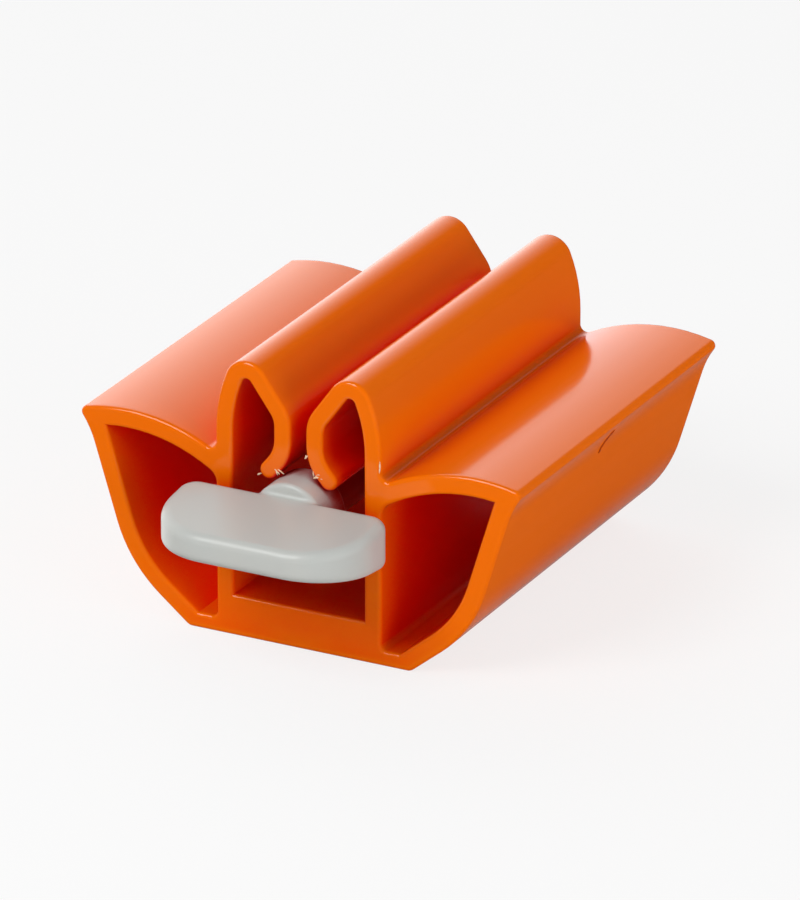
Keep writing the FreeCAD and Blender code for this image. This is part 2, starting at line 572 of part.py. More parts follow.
subparts = [clamp_body(), spring_jaw("right_jaw", left=False), spring_jaw("left_jaw", left=True), turn_key()]
doc.recompute()

for item in doc.Objects:
    if {"Invalid", "Error"} & set(item.State):
        raise RuntimeError(f"{item.Label} did not compute: {item.State}")
    if item.isDerivedFrom("Sketcher::SketchObject") and not item.FullyConstrained:
        raise RuntimeError(f"{item.Label} is not fully constrained")
for item in subparts:
    if item.Shape.isNull() or not item.Shape.isValid() or len(item.Shape.Solids) != 1:
        raise RuntimeError(f"{item.Label} is not one sound solid")

os.makedirs("parts", exist_ok=True)
for item in subparts:
    box = item.Shape.BoundBox
    print(f"{item.Label}: {item.Shape.Volume:.1f} mm3, "
          f"x {box.XMin:.2f} to {box.XMax:.2f}, y {box.YMin:.2f} to {box.YMax:.2f}, z {box.ZMin:.2f} to {box.ZMax:.2f}")
    item.Shape.exportStep(f"parts/{item.Label}.step")
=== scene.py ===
"""Spring clamp with a winding key: an orange extrusion with two sprung jaws, and a grey key under them."""
import bmesh
import bpy
import math
from mathutils import Matrix, Vector


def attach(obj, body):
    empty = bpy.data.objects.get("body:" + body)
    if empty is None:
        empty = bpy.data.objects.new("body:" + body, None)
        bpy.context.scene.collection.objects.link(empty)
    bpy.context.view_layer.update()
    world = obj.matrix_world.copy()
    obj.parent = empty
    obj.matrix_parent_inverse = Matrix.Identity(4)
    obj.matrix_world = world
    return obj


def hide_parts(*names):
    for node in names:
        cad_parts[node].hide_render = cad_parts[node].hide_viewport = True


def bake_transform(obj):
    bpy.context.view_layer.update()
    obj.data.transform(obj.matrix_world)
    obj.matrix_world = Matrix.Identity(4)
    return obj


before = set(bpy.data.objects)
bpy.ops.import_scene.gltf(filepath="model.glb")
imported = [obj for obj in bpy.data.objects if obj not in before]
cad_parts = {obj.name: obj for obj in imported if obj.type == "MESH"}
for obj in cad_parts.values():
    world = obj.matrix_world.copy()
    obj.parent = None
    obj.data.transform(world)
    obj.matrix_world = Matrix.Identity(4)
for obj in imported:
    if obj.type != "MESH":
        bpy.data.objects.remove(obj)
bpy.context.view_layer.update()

# The camera stands in front of the wing, to the right and above, far off with a long lens, so the
# clamp's long edges hardly draw together. It is placed by the front edge of the channel's floor.
AZIMUTH = 27.2
ELEVATION = 22.74
LENS = 376.3
SENSOR = 36.0
CLIP_END = 10.0
DISTANCE = 1.1465
FRAME_SIZE = Vector((800, 900))
FLOOR_EDGE = Vector((0, -0.0275, 0.0054))
FLOOR_EDGE_PIXEL = Vector((298.1, 608.4))
camera_data = bpy.data.cameras.new("camera")
camera_data.lens = LENS
camera_data.sensor_width = SENSOR
camera_data.clip_end = CLIP_END
camera = bpy.data.objects.new("camera", camera_data)
bpy.context.scene.collection.objects.link(camera)
bpy.context.scene.camera = camera
camera.rotation_euler = (math.radians(90 - ELEVATION), 0, math.radians(AZIMUTH))
pixels_per_metre = LENS / SENSOR * FRAME_SIZE.y / DISTANCE
aside = (FLOOR_EDGE_PIXEL.x - FRAME_SIZE.x / 2) / pixels_per_metre
below = (FLOOR_EDGE_PIXEL.y - FRAME_SIZE.y / 2) / pixels_per_metre
camera.location = FLOOR_EDGE - camera.rotation_euler.to_matrix() @ Vector((aside, -below, -DISTANCE))

# The body is one length of orange plastic extrusion, sawn off square and lightly rounded at both
# ends. This piece is all of it but the two spring loops: the base slab with the channel over it,
# the hollow side cells with their crowned roofs, and the lower part of the two upright walls.
MM = 0.001
BODY_LENGTH = 55 * MM
FLOOR_THICKNESS = 5.4 * MM
WALL_INNER = 9 * MM
WALL_OUTER = 11.3 * MM
BASE_HALF = 15.25 * MM
HULL_HALF = 30 * MM
HULL_WALL = 2.4 * MM
ROOF_WALL = 2.5 * MM
CELL_FLOOR = 2 * MM
LOW_SLOPE = 39
SIDE_SLOPE = 73
BELLY_RADIUS = 18 * MM
BASE_EDGE_RADIUS = 1.3 * MM
HOLLOW_RADIUS = 12 * MM
HOLLOW_TOP = 22 * MM
NOSE_RADIUS = 0.8 * MM
CROWN_RADIUS = 24.5 * MM
CROWN_HEIGHT = 27.15 * MM
CROWN_X = 23.8 * MM
NOTCH_RADIUS = 0.9 * MM
CELL_CORNER_RADIUS = 2 * MM
CELL_FLOOR_RADIUS = 0.8 * MM
SAWN_EDGE_RADIUS = 0.45 * MM
SAWN_EDGE_STEPS = 4
HOLD = 0.25 * MM
ARC_STEP = 4.0
SEAM_HEIGHT = 26.2 * MM
SEAM_SPARE = 1.0 * MM
WALL_REACH = 0.3 * MM
MERGE = 1e-6
SHARP_ANGLE = math.radians(35)
PLASTIC_IOR = 1.5
OPEN_ORANGE = (0.97, 0.17, 0.0005, 1)
# The next colour is painted shade: hollows found by ambient occlusion are painted this deep red.
PAINTED_SHADE_ORANGE = (0.99, 0.008, 0, 1)
PAINTED_SHADE_REACH = 20 * MM
PAINTED_SHADE_RANGE = (0.25, 0.55)
PAINTED_SHADE_SAMPLES = 8
OUTSIDE = "outside"
NOISE_RANGE = (0.3, 0.7)
DIE_LINES = (900, 8, 900)
SAW_MARKS = (60, 60, 2500)
MARK_DETAIL = 3
MARK_DEPTH = 0.002 * MM
SKIN_ROUGHNESS = (0.15, 0.21)
CUT_ROUGHNESS = (0.09, 0.15)


class Pen:
    """Draws the outline of a section as edges, seen from the front, with x to the right and z up."""

    def __init__(self, mesh, x, z):
        self.mesh = mesh
        self.first = self.last = mesh.verts.new((x, 0, z))

    def point(self, x, z):
        drawn = bmesh.ops.extrude_vert_indiv(self.mesh, verts=[self.last])
        self.last = drawn["verts"][0]
        self.last.co = (x, 0, z)

    def line(self, x, z):
        """A straight run, with a point close to each end that keeps its shading flat."""
        start, end = self.last.co.copy(), Vector((x, 0, z))
        hold = min(HOLD, (end - start).length / 3)
        step = (end - start).normalized() * hold
        self.point(*(start + step).xz)
        self.point(*(end - step).xz)
        self.point(x, z)

    def arc(self, centre, bearing, way=1):
        """An arc to a bearing from its centre, in degrees: way 1 turns anticlockwise, -1 clockwise."""
        now = math.degrees(math.atan2(self.last.co.z - centre.y, self.last.co.x - centre.x))
        sweep = (bearing - now) * way % 360
        steps = max(3, round(sweep / ARC_STEP))
        drawn = bmesh.ops.spin(self.mesh, geom=[self.last], cent=(centre.x, 0, centre.y), axis=(0, -way, 0),
                               dvec=(0, 0, 0), angle=math.radians(sweep), steps=steps)
        self.last = [item for item in drawn["geom_last"] if isinstance(item, bmesh.types.BMVert)][0]

    def close(self):
        self.mesh.edges.new((self.last, self.first))


def polar(centre, radius, degrees):
    turn = math.radians(degrees)
    return centre + Vector((radius * math.cos(turn), radius * math.sin(turn)))


def bearing(centre, target):
    return math.degrees(math.atan2(target.y - centre.y, target.x - centre.x))


def reach(radius, run):
    """How far a point of an arc is from its centre along one axis, when it is a run off along the other."""
    return math.sqrt(radius ** 2 - run ** 2)


def saw_to_length(mesh):
    """Fills the drawn outline, extrudes it to the body's length and rounds the sawn edges."""
    bmesh.ops.triangle_fill(mesh, edges=mesh.edges[:], use_beauty=True, use_dissolve=True,
                            normal=(0, -1, 0))
    front = mesh.faces[:]
    straight = BODY_LENGTH / 2 - SAWN_EDGE_RADIUS - HOLD
    bmesh.ops.translate(mesh, verts=mesh.verts[:], vec=(0, -straight, 0))
    grown = bmesh.ops.extrude_face_region(mesh, geom=front)["geom"]
    back = [item for item in grown if isinstance(item, bmesh.types.BMFace)]
    bmesh.ops.translate(mesh, verts=[item for item in grown if isinstance(item, bmesh.types.BMVert)],
                        vec=(0, 2 * straight, 0))
    bmesh.ops.recalc_face_normals(mesh, faces=mesh.faces[:])
    # Each end grows by a straight ring, the rounding and a flat ring, which keep the shading true.
    rings = [(0, HOLD)]
    for step in range(SAWN_EDGE_STEPS):
        low, high = [math.radians(90) * part / SAWN_EDGE_STEPS for part in (step, step + 1)]
        rings.append((SAWN_EDGE_RADIUS * (math.cos(low) - math.cos(high)),
                      SAWN_EDGE_RADIUS * (math.sin(high) - math.sin(low))))
    rings.append((HOLD / 2, 0))
    for end in (front, back):
        for inwards, outwards in rings:
            bmesh.ops.inset_region(mesh, faces=end, use_boundary=True, use_even_offset=True,
                                   thickness=inwards, depth=outwards)
        bmesh.ops.triangulate(mesh, faces=end)


def cut_at_seam(mesh, keep):
    """Cuts the upright walls level at the seam, keeps what is above (1) or below (-1), closes the cut."""
    low, high = WALL_INNER - WALL_REACH, WALL_OUTER + WALL_REACH
    walls = [face for face in mesh.faces if all(low < abs(vert.co.x) < high for vert in face.verts)]
    parts = {part for face in walls for part in (face, *face.edges, *face.verts)}
    cut = bmesh.ops.bisect_plane(mesh, geom=list(parts), dist=MERGE, plane_co=(0, 0, SEAM_HEIGHT),
                                 plane_no=(0, 0, -keep), clear_outer=True)["geom_cut"]
    bmesh.ops.holes_fill(mesh, edges=[item for item in cut if isinstance(item, bmesh.types.BMEdge)])
    bmesh.ops.recalc_face_normals(mesh, faces=mesh.faces[:])


def make_piece(name, mesh, material, body, node=None):
    """Turns a bmesh into a shaded piece that rides on a body and, where it is named, replaces a node."""
    data = bpy.data.meshes.new(name)
    for face in mesh.faces:
        face.smooth = True
    mesh.to_mesh(data)
    mesh.free()
    data.set_sharp_from_angle(angle=SHARP_ANGLE)
    data.materials.append(material)
    piece = bpy.data.objects.new(name, data)
    bpy.context.scene.collection.objects.link(piece)
    if body:
        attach(piece, body)
    if node:
        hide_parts(node)
    return piece


def fine_noise(nodes, links, scale, detail):
    """Noise in the object's own place: the scale is how often it changes in a metre along each axis."""
    place = nodes.new("ShaderNodeTexCoord")
    stretch = nodes.new("ShaderNodeMapping")
    stretch.inputs["Scale"].default_value = scale
    noise = nodes.new("ShaderNodeTexNoise")
    noise.inputs["Scale"].default_value = 1
    noise.inputs["Detail"].default_value = detail
    links.new(place.outputs["Object"], stretch.inputs["Vector"])
    links.new(stretch.outputs["Vector"], noise.inputs["Vector"])
    return noise.outputs["Fac"]


def remap(nodes, links, value, low, high, start=0.0, end=1.0):
    """Turns a value that runs from low to high into one from start to end, held at both ends."""
    node = nodes.new("ShaderNodeMapRange")
    for name, number in (("From Min", low), ("From Max", high), ("To Min", start), ("To Max", end)):
        node.inputs[name].default_value = number
    links.new(value, node.inputs["Value"])
    return node.outputs["Result"]


def blend_of(nodes, links, share, first, second):
    """A mix of two values by a share: 0 gives the first and 1 the second."""
    node = nodes.new("ShaderNodeMix")
    links.new(share, node.inputs["Factor"])
    links.new(first, node.inputs["A"])
    links.new(second, node.inputs["B"])
    return node.outputs["Result"]


def joined(nodes, links, operation, first, second):
    """Two values joined by one operation, such as MAXIMUM or MULTIPLY."""
    node = nodes.new("ShaderNodeMath")
    node.operation = operation
    links.new(first, node.inputs[0])
    links.new(second, node.inputs[1])
    return node.outputs["Value"]


def tint_between(nodes, links, share, first, second):
    """The node that mixes two colours by a share: 0 gives the first and 1 the second."""
    node = nodes.new("ShaderNodeMix")
    node.data_type = "RGBA"
    node.inputs["A"].default_value = first
    node.inputs["B"].default_value = second
    links.new(share, node.inputs["Factor"])
    return node


def place_parts(nodes, links, output):
    """The node that splits a place or a direction into X, Y and Z: output says which of them it reads."""
    place = nodes.new("ShaderNodeTexCoord")
    parts = nodes.new("ShaderNodeSeparateXYZ")
    links.new(place.outputs[output], parts.inputs["Vector"])
    return parts


def paint_hollow_shade(nodes, links, opening, shade_colour, open_colour):
    """Sets the base colour with painted shade: where ambient occlusion finds a hollow, the colour is
    painted a shaded deep red, in place of light that has turned red on its way over orange walls.

    The outside of the hull gets no painted shade, however near the floor it is.
    """
    hollow = nodes.new("ShaderNodeAmbientOcclusion")
    hollow.samples = PAINTED_SHADE_SAMPLES
    hollow.inputs["Distance"].default_value = PAINTED_SHADE_REACH
    outside = nodes.new("ShaderNodeAttribute")
    outside.attribute_name = OUTSIDE
    openness = remap(nodes, links, hollow.outputs["AO"], *opening)
    share = joined(nodes, links, "MAXIMUM", openness, outside.outputs["Fac"])
    tint = tint_between(nodes, links, share, shade_colour, open_colour)
    links.new(tint.outputs["Result"], nodes["Principled BSDF"].inputs["Base Color"])
    return tint.inputs["B"]


def make_orange():
    """Glossy skin with faint die lines along it, still glossier sawn ends with faint saw marks, and
    painted red shade in the hollows.
    """
    material = bpy.data.materials.new("orange_extrusion")
    material.use_nodes = True
    nodes, links = material.node_tree.nodes, material.node_tree.links
    shader = nodes["Principled BSDF"]
    shader.inputs["IOR"].default_value = PLASTIC_IOR

    # Painted shade: the hollows of the orange plastic are painted a deep red.
    paint_hollow_shade(nodes, links, PAINTED_SHADE_RANGE, PAINTED_SHADE_ORANGE, OPEN_ORANGE)
    distance = nodes.new("ShaderNodeMath")
    distance.operation = "ABSOLUTE"
    links.new(place_parts(nodes, links, "Object").outputs["Y"], distance.inputs[0])
    end_face = BODY_LENGTH / 2
    skin_end, cut_start = end_face - SAWN_EDGE_RADIUS, end_face - SAWN_EDGE_RADIUS / 2
    sawn = remap(nodes, links, distance.outputs["Value"], skin_end, cut_start)
    die_lines = fine_noise(nodes, links, DIE_LINES, MARK_DETAIL)
    saw_marks = fine_noise(nodes, links, SAW_MARKS, MARK_DETAIL)
    skin = remap(nodes, links, die_lines, *NOISE_RANGE, *SKIN_ROUGHNESS)
    cut = remap(nodes, links, saw_marks, *NOISE_RANGE, *CUT_ROUGHNESS)
    links.new(blend_of(nodes, links, sawn, skin, cut), shader.inputs["Roughness"])
    relief = nodes.new("ShaderNodeBump")
    relief.inputs["Strength"].default_value = 1
    relief.inputs["Distance"].default_value = MARK_DEPTH
    links.new(blend_of(nodes, links, sawn, die_lines, saw_marks), relief.inputs["Height"])
    links.new(relief.outputs["Normal"], shader.inputs["Normal"])
    return material


orange = make_orange()
hull = bmesh.new()
outside = hull.verts.layers.float.new(OUTSIDE)
corner = Vector((BASE_HALF, 0))
crown = Vector((CROWN_X, CROWN_HEIGHT - CROWN_RADIUS))
nose_x = HULL_HALF - NOSE_RADIUS
nose = Vector((nose_x, crown.y + reach(CROWN_RADIUS - NOSE_RADIUS, nose_x - crown.x)))
hollow_z = HOLLOW_TOP - HOLLOW_RADIUS * math.cos(math.radians(SIDE_SLOPE))
hollow_x = nose.x + reach(HOLLOW_RADIUS + NOSE_RADIUS, nose.y - hollow_z)
hollow = Vector((hollow_x, hollow_z))
side_top = polar(hollow, HOLLOW_RADIUS, SIDE_SLOPE + 90)
low, side = math.radians(LOW_SLOPE), math.radians(SIDE_SLOPE)
gap = side_top - corner
along_low = (gap.x * math.sin(side) - gap.y * math.cos(side)) / math.sin(side - low)
belly_touch = polar(corner, along_low - BELLY_RADIUS * math.tan((side - low) / 2), LOW_SLOPE)
belly = polar(belly_touch, BELLY_RADIUS, LOW_SLOPE + 90)
base_edge = Vector((BASE_HALF - BASE_EDGE_RADIUS * math.tan(low / 2), BASE_EDGE_RADIUS))
notch_x = WALL_OUTER + NOTCH_RADIUS
notch = Vector((notch_x, crown.y + reach(CROWN_RADIUS + NOTCH_RADIUS, crown.x - notch_x)))

pen = Pen(hull, 0, 0)
pen.line(base_edge.x, 0)
pen.arc(base_edge, LOW_SLOPE - 90)
pen.line(*polar(belly, BELLY_RADIUS, LOW_SLOPE - 90))
pen.arc(belly, SIDE_SLOPE - 90)
pen.line(*side_top)
pen.arc(hollow, bearing(hollow, nose), way=-1)
pen.arc(nose, bearing(crown, nose))
hull_side = hull.verts[:]
pen.arc(crown, bearing(crown, notch))
pen.arc(notch, 180, way=-1)
pen.line(WALL_OUTER, SEAM_HEIGHT)
pen.point(WALL_OUTER, SEAM_HEIGHT + SEAM_SPARE)
pen.point(WALL_INNER, SEAM_HEIGHT + SEAM_SPARE)
pen.point(WALL_INNER, SEAM_HEIGHT)
pen.line(WALL_INNER, FLOOR_THICKNESS)
pen.line(0, FLOOR_THICKNESS)

belly_inside = BELLY_RADIUS - HULL_WALL
roof_inside = CROWN_RADIUS - ROOF_WALL
shelf_x = WALL_OUTER + CELL_CORNER_RADIUS
shelf = Vector((shelf_x, crown.y + reach(roof_inside - CELL_CORNER_RADIUS, crown.x - shelf_x)))
heel = Vector((WALL_OUTER + CELL_FLOOR_RADIUS, CELL_FLOOR + CELL_FLOOR_RADIUS))
low_foot = polar(belly, belly_inside, LOW_SLOPE - 90)
toe_x = low_foot.x - (low_foot.y - CELL_FLOOR) / math.tan(low)
side_foot = polar(belly, belly_inside, SIDE_SLOPE - 90)
from_crown = side_foot - crown
across = from_crown.x * math.sin(side) - from_crown.y * math.cos(side)
along = from_crown.x * math.cos(side) + from_crown.y * math.sin(side)
eave = polar(side_foot, reach(roof_inside, across) - along, SIDE_SLOPE)

pen = Pen(hull, heel.x, CELL_FLOOR)
pen.line(toe_x, CELL_FLOOR)
pen.line(*low_foot)
pen.arc(belly, SIDE_SLOPE - 90)
pen.line(*eave)
pen.arc(crown, bearing(crown, shelf))
pen.arc(shelf, 180)
pen.line(WALL_OUTER, heel.y)
pen.arc(heel, 270)

# The painted shade of the hollows leaves the outside of the hull alone.
for vert in hull_side:
    vert[outside] = 1
bmesh.ops.mirror(hull, geom=hull.verts[:] + hull.edges[:], axis="X", merge_dist=MERGE)
bmesh.ops.remove_doubles(hull, verts=hull.verts[:], dist=MERGE)
saw_to_length(hull)
cut_at_seam(hull, keep=-1)
make_piece("extrusion_hull", hull, orange, "clamp_body", node="clamp_body")

# The two spring loops are the upper part of the same extrusion: each upright wall leans in, folds
# over at the ridge and comes down as a jaw, with a knee, a flat gripping face and an outward curl.
# Each loop is a piece of its own, on no body, and replaces its jaw's node.
RIDGE_X = 7.05 * MM
RIDGE_HEIGHT = 36.5 * MM
SPRING_WALL = WALL_OUTER - WALL_INNER
BEND_RADIUS = 0.7 * MM
JAW_GAP = 2.1 * MM
LEAD_SLOPE = 54.3
KNEE_RADIUS = 2.7 * MM
GRIP_LENGTH = 1.68 * MM
CURL_RADIUS = 4.1 * MM
CURL_ANGLE = 40
LIP_LENGTH = 1.05 * MM

bend = Vector((RIDGE_X, RIDGE_HEIGHT - BEND_RADIUS - SPRING_WALL))
lean_run, lean_rise = WALL_INNER - bend.x, bend.y - CROWN_HEIGHT
lean_radius = (lean_run ** 2 + lean_rise ** 2 - BEND_RADIUS ** 2) / 2 / (lean_run - BEND_RADIUS)
lean = Vector((WALL_INNER - lean_radius, CROWN_HEIGHT))
grip = JAW_GAP / 2
knee_x = grip + KNEE_RADIUS + SPRING_WALL
lead = math.radians(LEAD_SLOPE)
knee_drop = (KNEE_RADIUS - BEND_RADIUS + (bend.x - knee_x) * math.sin(lead)) / math.cos(lead)
knee = Vector((knee_x, bend.y - knee_drop))
curl = Vector((grip + SPRING_WALL + CURL_RADIUS, knee.y - GRIP_LENGTH))
lip = polar(polar(curl, CURL_RADIUS + SPRING_WALL / 2, 180 + CURL_ANGLE), LIP_LENGTH, 270 + CURL_ANGLE)


def spring_loop(side, body, name):
    """One loop from the seam up over the ridge and down to the lip: side is 1 for right, -1 for left."""
    loop = bmesh.new()
    pen = Pen(loop, WALL_OUTER, SEAM_HEIGHT - SEAM_SPARE)
    pen.point(WALL_OUTER, SEAM_HEIGHT)
    pen.line(WALL_OUTER, CROWN_HEIGHT)
    pen.arc(lean, bearing(lean, bend))
    pen.arc(bend, LEAD_SLOPE + 90)
    pen.line(*polar(knee, KNEE_RADIUS + SPRING_WALL, LEAD_SLOPE + 90))
    pen.arc(knee, 180)
    pen.line(grip, curl.y)
    pen.arc(curl, 180 + CURL_ANGLE)
    pen.line(*polar(lip, SPRING_WALL / 2, 180 + CURL_ANGLE))
    pen.arc(lip, CURL_ANGLE)
    pen.line(*polar(curl, CURL_RADIUS, 180 + CURL_ANGLE))
    pen.arc(curl, 180, way=-1)
    pen.line(grip + SPRING_WALL, knee.y)
    pen.arc(knee, LEAD_SLOPE + 90, way=-1)
    pen.line(*polar(bend, BEND_RADIUS, LEAD_SLOPE + 90))
    pen.arc(bend, bearing(lean, bend), way=-1)
    pen.arc(lean, 0, way=-1)
    pen.line(WALL_INNER, SEAM_HEIGHT)
    pen.point(WALL_INNER, SEAM_HEIGHT - SEAM_SPARE)
    pen.close()
    saw_to_length(loop)
    cut_at_seam(loop, keep=1)
    if side < 0:
        bmesh.ops.scale(loop, vec=(-1, 1, 1), verts=loop.verts[:])
        bmesh.ops.recalc_face_normals(loop, faces=loop.faces[:])
    piece = make_piece(name, loop, orange, None, node=body)
    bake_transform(piece)


spring_loop(-1, "left_jaw", "left_spring_loop")
spring_loop(1, "right_jaw", "right_spring_loop")

# The saw left a few burrs: thin slivers of whitened plastic that cling to the edges of the front face,
# most of them at the lips. Each starts in the edge. One scuff is under the hull's right-hand nose: a fine
# ridge, with its shadow painted beside it as a dark line.
BURR_DEPTH = -27.44 * MM
BURR_CURL = Vector((0, -0.05 * MM, 0.06 * MM))
WALL_BURR_CURL = Vector((0.05 * MM, 0, 0))
SLIVER_SIDES = 8
WHITENED = (0.93, 0.72, 0.5, 1)
BURR_ORANGE = (0.95, 0.38, 0.1, 1)
BURR_SPOTS = (2500, 2500, 2500)
SPOT_DETAIL = 2
WHITENED_RANGE = (0.3, 0.5)
BURR_ROUGHNESS = (0.5, 0.7)


def make_whitened():
    """Torn plastic, whitened where it was stretched most."""
    material = bpy.data.materials.new("whitened_burr")
    material.use_nodes = True
    nodes, links = material.node_tree.nodes, material.node_tree.links
    shader = nodes["Principled BSDF"]
    shader.inputs["IOR"].default_value = PLASTIC_IOR
    spots = fine_noise(nodes, links, BURR_SPOTS, SPOT_DETAIL)
    tint = tint_between(nodes, links, remap(nodes, links, spots, *WHITENED_RANGE), BURR_ORANGE, WHITENED)
    links.new(tint.outputs["Result"], shader.inputs["Base Color"])
    links.new(remap(nodes, links, spots, *NOISE_RANGE, *BURR_ROUGHNESS), shader.inputs["Roughness"])
    return material


def add_sliver(mesh, start, end, width, curl):
    """A thin pointed sliver from one point to another, bowed aside in its middle by the curl."""
    along = end - start
    turn = along.to_track_quat("Z", "Y").to_matrix().to_4x4()
    stretch = Matrix.Diagonal((width / 2, width / 2, along.length / 2, 1))
    place = Matrix.Translation((start + end) / 2) @ turn @ stretch
    drawn = bmesh.ops.create_uvsphere(mesh, u_segments=SLIVER_SIDES, v_segments=SLIVER_SIDES, radius=1,
                                      matrix=place)
    for vert in drawn["verts"]:
        share = (vert.co - start).dot(along) / along.length_squared
        vert.co += curl * (1 - (2 * share - 1) ** 2)


def make_burrs(name, body, burrs, curl):
    """Burrs on the front face, each with its start and end, seen from the front, and its width, in mm."""
    mesh = bmesh.new()
    for start_x, start_z, end_x, end_z, width in burrs:
        start = Vector((start_x * MM, BURR_DEPTH, start_z * MM))
        end = Vector((end_x * MM, BURR_DEPTH, end_z * MM))
        add_sliver(mesh, start, end, width * MM, curl)
    make_piece(name, mesh, whitened, body)


whitened = make_whitened()
make_burrs("left_lip_burrs", "left_jaw", [
    (-4.95, 22.32, -5.55, 21.95, 0.2), (-5.2, 22.05, -5.45, 22.2, 0.14), (-3.2, 23.25, -2.45, 22.6, 0.2),
    (-2.8, 23.3, -1.85, 22.75, 0.18), (-2.95, 22.95, -2.75, 22.45, 0.12)], BURR_CURL)
make_burrs("right_lip_burrs", "right_jaw", [
    (1.4, 25.8, 0.98, 25.3, 0.24), (1.25, 25.5, 1.1, 25.85, 0.15), (2.1, 23.95, 2.2, 23.2, 0.14),
    (2.1, 23.0, 2.95, 23.25, 0.26), (2.35, 22.9, 2.6, 23.5, 0.14), (2.6, 23.5, 3.1, 23.6, 0.13),
    (3.05, 23.1, 3.45, 23.05, 0.12)], BURR_CURL)
make_burrs("wall_burr", "clamp_body", [(11.2, 26.95, 11.1, 25.4, 0.2)], WALL_BURR_CURL)

# The scuff's route: the place along the clamp in mm, and the bearing on the hollow arc in degrees.
SCUFF = ((-0.2, 151.2), (-1.0, 153.4), (-1.75, 156.4), (-2.25, 159.6), (-2.35, 162.5))
SCUFF_WIDTH = 0.3 * MM
SCUFF_STEP = Vector((0, 0.24 * MM, 0))
# The next colour is painted shadow: the scuff's dark line is a sliver painted in shaded orange.
SCUFF_PAINTED_SHADOW = (0.42, 0.045, 0, 1)


def make_scuff(name, material, aside):
    """A fine ridge along the scuff's route on the hull's side, moved aside by a small step."""
    mesh = bmesh.new()
    route = [polar(hollow, HOLLOW_RADIUS, degrees) for _, degrees in SCUFF]
    route = [Vector((place.x, y * MM, place.y)) + aside for place, (y, _) in zip(route, SCUFF)]
    for start, end in zip(route, route[1:]):
        overlap = (end - start) / 4
        add_sliver(mesh, start - overlap, end + overlap, SCUFF_WIDTH, Vector())
    make_piece(name, mesh, material, "clamp_body")


# This copy of the orange is painted shadow: a dark sliver lies where the ridge's shade falls.
scuff_shadow_paint = orange.copy()
scuff_shadow_paint.name = "scuff_painted_shadow"
tint = next(node for node in scuff_shadow_paint.node_tree.nodes if node.type == "MIX" and node.data_type == "RGBA")
tint.inputs["A"].default_value = tint.inputs["B"].default_value = SCUFF_PAINTED_SHADOW
make_scuff("side_scuff", scuff_shadow_paint, Vector())
make_scuff("side_scuff_ridge", orange, SCUFF_STEP)

# The key is one grey moulding: a wing for finger and thumb, a collar under the lips and a shaft with a
# slot. The imported solid has all its rounded edges, so it is shown as it is, in satin grey plastic,
# with painted dark red shade where it lies deep in the channel.
GREY = (0.57, 0.59, 0.565, 1)
CLOUDY_GREY = (0.59, 0.595, 0.56, 1)
# The next colour is painted shade: where the key lies deep in the channel, its grey is painted this dark
# red.
PAINTED_SHADE_GREY = (0.3, 0.002, 0, 1)
GREY_PAINTED_SHADE_RANGE = (0.25, 0.5)
CLOUDS = (90, 90, 90)
CLOUD_RANGE = (0.35, 0.65)
MOULD_GRAIN = (4000, 4000, 4000)
GRAIN_DEPTH = 0.001 * MM
MOULD_DETAIL = 2
MOULDED_ROUGHNESS = (0.29, 0.35)


def make_grey():
    """Satin moulding with a fine grain, hardly visible clouds in its colour and painted dark red shade in
    the hollows.
    """
    material = bpy.data.materials.new("grey_moulding")
    material.use_nodes = True
    nodes, links = material.node_tree.nodes, material.node_tree.links
    shader = nodes["Principled BSDF"]
    shader.inputs["IOR"].default_value = PLASTIC_IOR
    clouds = fine_noise(nodes, links, CLOUDS, MOULD_DETAIL)
    tint = tint_between(nodes, links, remap(nodes, links, clouds, *CLOUD_RANGE), GREY, CLOUDY_GREY)
    # Painted shade: the key's grey is painted dark red in the hollows.
    open_grey = paint_hollow_shade(nodes, links, GREY_PAINTED_SHADE_RANGE, PAINTED_SHADE_GREY, GREY)
    links.new(tint.outputs["Result"], open_grey)
    grain = fine_noise(nodes, links, MOULD_GRAIN, MOULD_DETAIL)
    links.new(remap(nodes, links, grain, *NOISE_RANGE, *MOULDED_ROUGHNESS), shader.inputs["Roughness"])
    relief = nodes.new("ShaderNodeBump")
    relief.inputs["Distance"].default_value = GRAIN_DEPTH
    links.new(grain, relief.inputs["Height"])
    links.new(relief.outputs["Normal"], shader.inputs["Normal"])
    return material


grey = make_grey()
for key_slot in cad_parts["turn_key"].material_slots:
    key_slot.material = grey

# The floor is a plain pale board. The camera sees it near white, with the clamp's soft shadow on it.
# To the right of the clamp it throws more light up, as a white card lying there would.
FLOOR_HALF = 3.0
FLOOR_DROP = 0.01 * MM
BACKGROUND = 0.955
BOARD_SEEN = 0.2
BOARD_GLOW = 0.785
BOARD_BOUNCE = 0.72
CARD_BOUNCE = 1.0
CARD_START = -10 * MM
CARD_END = 35 * MM
floor_mesh = bmesh.new()
bmesh.ops.create_grid(floor_mesh, x_segments=1, y_segments=1, size=FLOOR_HALF)
bmesh.ops.translate(floor_mesh, verts=floor_mesh.verts[:], vec=(0, 0, -FLOOR_DROP))
floor_data = bpy.data.meshes.new("floor")
floor_mesh.to_mesh(floor_data)
floor_mesh.free()
floor = bpy.data.objects.new("floor", floor_data)
floor.visible_glossy = False
bpy.context.scene.collection.objects.link(floor)
board = bpy.data.materials.new("pale_board")
board.use_nodes = True
nodes, links = board.node_tree.nodes, board.node_tree.links
nodes.clear()
bounce = nodes.new("ShaderNodeBsdfDiffuse")
spot = place_parts(nodes, links, "Object").outputs["X"]
card = remap(nodes, links, spot, CARD_START, CARD_END, BOARD_BOUNCE, CARD_BOUNCE)
links.new(card, bounce.inputs["Color"])
seen = nodes.new("ShaderNodeBsdfDiffuse")
seen.inputs["Color"].default_value = (BOARD_SEEN, BOARD_SEEN, BOARD_SEEN, 1)
glow = nodes.new("ShaderNodeEmission")
